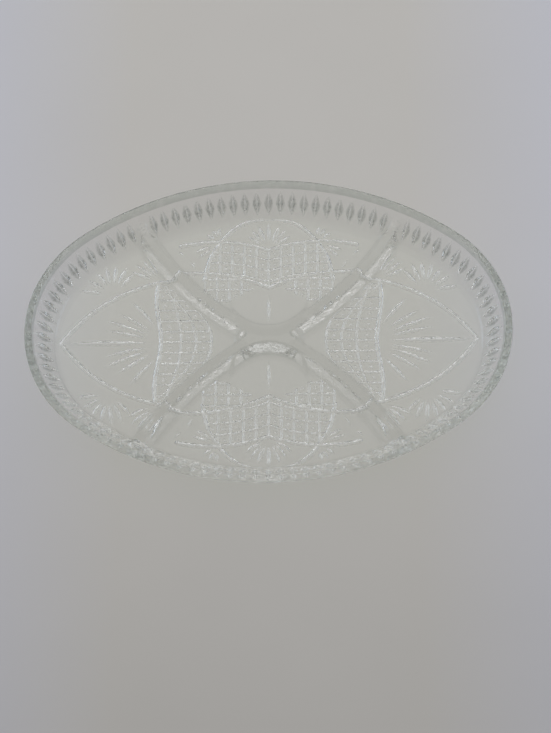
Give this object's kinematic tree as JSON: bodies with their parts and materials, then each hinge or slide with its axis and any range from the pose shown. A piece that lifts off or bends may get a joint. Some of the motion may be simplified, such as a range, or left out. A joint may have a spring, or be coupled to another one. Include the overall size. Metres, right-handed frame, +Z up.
{
  "type": "relish tray",
  "caption": "Shallow oval tray of pressed clear glass with curved dividers that meet at a small central hub, a flared fluted wall and a thick plain rim.",
  "frame": {"origin": "middle of the flat face that the tray rests on", "axes": "+X along the tray's length, +Y across it towards the far long side of the picture, +Z up out of the open top"},
  "size_m": [0.3, 0.212, 0.022],
  "materials": {
    "clear_glass": "fire-polished pressed glass, clear with a faint cool grey tint"
  },
  "bodies": {
    "root": {"floor_panel": "clear_glass", "fluted_wall": "clear_glass", "rim_band": "clear_glass", "centre_hub": "clear_glass", "divider_rear_left": "clear_glass", "divider_rear_right": "clear_glass", "divider_front_left": "clear_glass", "divider_front_right": "clear_glass"}
  },
  "joints": []
}
